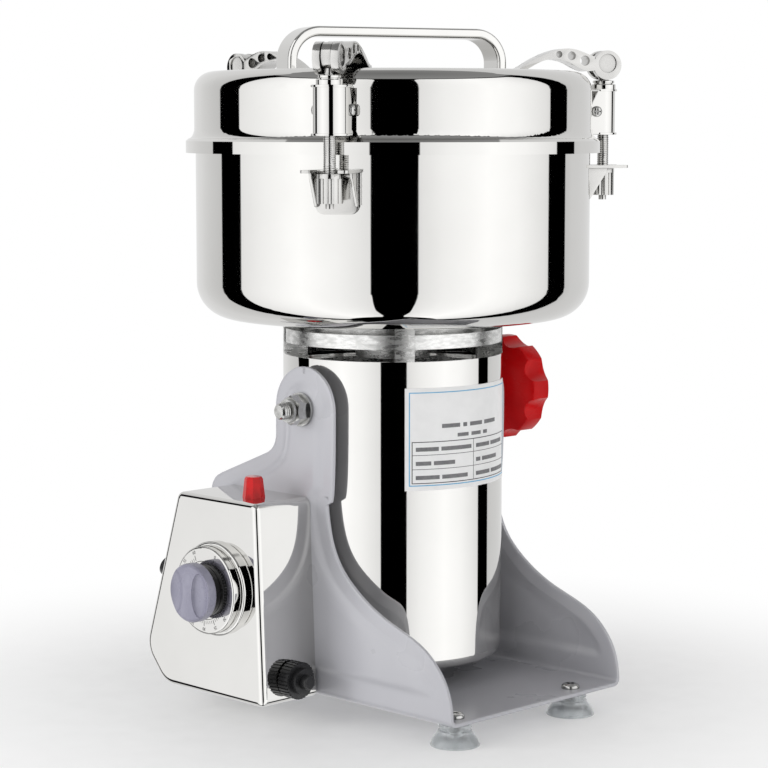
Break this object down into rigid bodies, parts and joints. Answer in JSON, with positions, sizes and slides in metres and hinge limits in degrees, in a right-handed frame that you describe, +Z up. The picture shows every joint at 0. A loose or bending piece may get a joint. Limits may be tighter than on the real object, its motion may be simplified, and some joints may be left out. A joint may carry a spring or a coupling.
{
  "type": "hammer mill",
  "caption": "Swing-type high-speed grain and spice mill: a lidded steel bowl with over-centre clamps on a motor barrel that tilts in a pressed cradle with a timer box.",
  "frame": {"origin": "middle of the footprint box, at the underside of the feet", "axes": "+Z up along the motor axis at rest, -Y towards the open front of the cradle, -X towards the control box"},
  "size_m": [0.2308, 0.2276, 0.3421],
  "materials": {
    "cradle_paint": "satin grey powder coat",
    "mirror_steel": "mirror-polished stainless steel",
    "bright_steel": "bright cast and turned stainless steel",
    "screw_steel": "zinc-plated steel",
    "cast_aluminium": "bright machined casting",
    "foot_pvc": "translucent soft vinyl",
    "black_plastic": "black moulded",
    "knob_grey": "grey moulded",
    "red_plastic": "red moulded",
    "lamp_red": "translucent red",
    "label_film": "printed film",
    "copper_wire": "enamelled copper",
    "core_steel": "stacked laminations",
    "carbon": "carbon",
    "brass": "turned",
    "white_plastic": "moulded",
    "silicone": "clear silicone"
  },
  "bodies": {
    "cradle": {"cradle": "cradle_paint", "suction_feet": "foot_pvc", "foot_screws": "screw_steel", "control_box": "mirror_steel", "lamp_lens": "lamp_red", "lamp_holder": "black_plastic", "timer_bezel": "mirror_steel", "timer_works": "white_plastic", "reset_housing": "black_plastic", "cord_gland": "black_plastic", "terminal_block": "white_plastic"},
    "timer_dial": {"timer_shaft": "black_plastic", "timer_knob": "knob_grey"},
    "reset_plunger": {"reset_button": "black_plastic"},
    "lock_wheel": {"lock_knob": "red_plastic", "lock_stud": "screw_steel"},
    "motor": {"motor_barrel": "mirror_steel", "bottom_cover": "black_plastic", "lower_bracket": "cast_aluminium", "stator_core": "core_steel", "field_coils": "copper_wire", "brush_holders": "brass", "carbon_brushes": "carbon", "bearing_outer_rings": "bright_steel", "neck_casting": "cast_aluminium", "bowl_screws": "screw_steel", "grinding_bowl": "mirror_steel", "shaft_seal": "white_plastic", "clamp_ears": "bright_steel", "nameplate": "label_film", "pivot_bushes": "screw_steel", "pivot_fasteners": "screw_steel"},
    "rotor": {"rotor_shaft": "bright_steel", "armature_core": "core_steel", "armature_windings": "copper_wire", "commutator": "copper_wire", "cooling_fan": "black_plastic", "bearing_inner_rings": "bright_steel", "lower_blade": "bright_steel", "middle_blade": "bright_steel", "upper_blade": "bright_steel", "blade_collars": "bright_steel", "blade_nut": "screw_steel"},
    "lid": {"lid_shell": "mirror_steel", "lid_gasket": "silicone", "lid_handle": "mirror_steel", "handle_screws": "screw_steel", "clamp_lugs": "bright_steel"},
    "clamp_1": {"clamp_housing_1": "mirror_steel"},
    "rod_1": {"clamp_rod_1": "bright_steel", "clamp_nut_1": "bright_steel"},
    "lever_1": {"clamp_lever_1": "bright_steel"},
    "clamp_2": {"clamp_housing_2": "mirror_steel"},
    "rod_2": {"clamp_rod_2": "bright_steel", "clamp_nut_2": "bright_steel"},
    "lever_2": {"clamp_lever_2": "bright_steel"},
    "clamp_3": {"clamp_housing_3": "mirror_steel"},
    "rod_3": {"clamp_rod_3": "bright_steel", "clamp_nut_3": "bright_steel"},
    "lever_3": {"clamp_lever_3": "bright_steel"}
  },
  "joints": [
    {"name": "motor_tilt", "type": "hinge", "parent": "cradle", "child": "motor", "pos_m": [0.00303, -0.00925, 0.1542], "axis": [1, 0, 0], "range_deg": [0, 90]},
    {"name": "rotor_spin", "type": "hinge", "parent": "motor", "child": "rotor", "pos_m": [0.00303, -0.00925, 0.111], "axis": [0, 0, 1], "continuous": true},
    {"name": "lid_lift", "type": "slide", "parent": "motor", "child": "lid", "axis": [0, 0, 1], "range_m": [0, 0.12]},
    {"name": "lock_knob_turn", "type": "hinge", "parent": "motor", "child": "lock_wheel", "pos_m": [0.07303, -0.00925, 0.1542], "axis": [1, 0, 0], "range_deg": [0, 270]},
    {"name": "timer_turn", "type": "hinge", "parent": "cradle", "child": "timer_dial", "pos_m": [-0.10197, 0.01425, 0.0662], "axis": [-1, 0, 0], "range_deg": [0, 300]},
    {"name": "reset_press", "type": "slide", "parent": "cradle", "child": "reset_plunger", "axis": [0, 1, 0], "range_m": [0, 0.003], "stiffness_N_per_m": 400, "springref_m": -0.002},
    {"name": "clamp_swing_1", "type": "hinge", "parent": "lid", "child": "clamp_1", "pos_m": [-0.08877, -0.06225, 0.3004], "axis": [-0.5, 0.866, 0], "range_deg": [0, 24.5]},
    {"name": "rod_drop_1", "type": "slide", "parent": "clamp_1", "child": "rod_1", "axis": [0, 0, -1], "range_m": [0, 0.0015]},
    {"name": "clamp_lever_1", "type": "hinge", "parent": "rod_1", "child": "lever_1", "pos_m": [-0.09457, -0.0656, 0.325], "axis": [0.5, -0.866, 0], "range_deg": [0, 150.5]},
    {"name": "clamp_swing_2", "type": "hinge", "parent": "lid", "child": "clamp_2", "pos_m": [0.09483, -0.06225, 0.3004], "axis": [-0.5, -0.866, 0], "range_deg": [0, 24.5]},
    {"name": "rod_drop_2", "type": "slide", "parent": "clamp_2", "child": "rod_2", "axis": [0, 0, -1], "range_m": [0, 0.0015]},
    {"name": "clamp_lever_2", "type": "hinge", "parent": "rod_2", "child": "lever_2", "pos_m": [0.10063, -0.0656, 0.325], "axis": [0.5, 0.866, 0], "range_deg": [0, 150.5]},
    {"name": "clamp_swing_3", "type": "hinge", "parent": "lid", "child": "clamp_3", "pos_m": [0.00303, 0.09675, 0.3004], "axis": [1, 0, 0], "range_deg": [0, 24.5]},
    {"name": "rod_drop_3", "type": "slide", "parent": "clamp_3", "child": "rod_3", "axis": [0, 0, -1], "range_m": [0, 0.0015]},
    {"name": "clamp_lever_3", "type": "hinge", "parent": "rod_3", "child": "lever_3", "pos_m": [0.00303, 0.10345, 0.325], "axis": [-1, 0, 0], "range_deg": [0, 150.5]}
  ],
  "couplings": [
    {"joint": "clamp_swing_1", "follows": "rod_drop_1", "rad_per_m": 279.3},
    {"joint": "clamp_lever_1", "follows": "rod_drop_1", "rad_per_m": 1745.3},
    {"joint": "clamp_swing_2", "follows": "rod_drop_2", "rad_per_m": 279.3},
    {"joint": "clamp_lever_2", "follows": "rod_drop_2", "rad_per_m": 1745.3},
    {"joint": "clamp_swing_3", "follows": "rod_drop_3", "rad_per_m": 279.3},
    {"joint": "clamp_lever_3", "follows": "rod_drop_3", "rad_per_m": 1745.3}
  ]
}
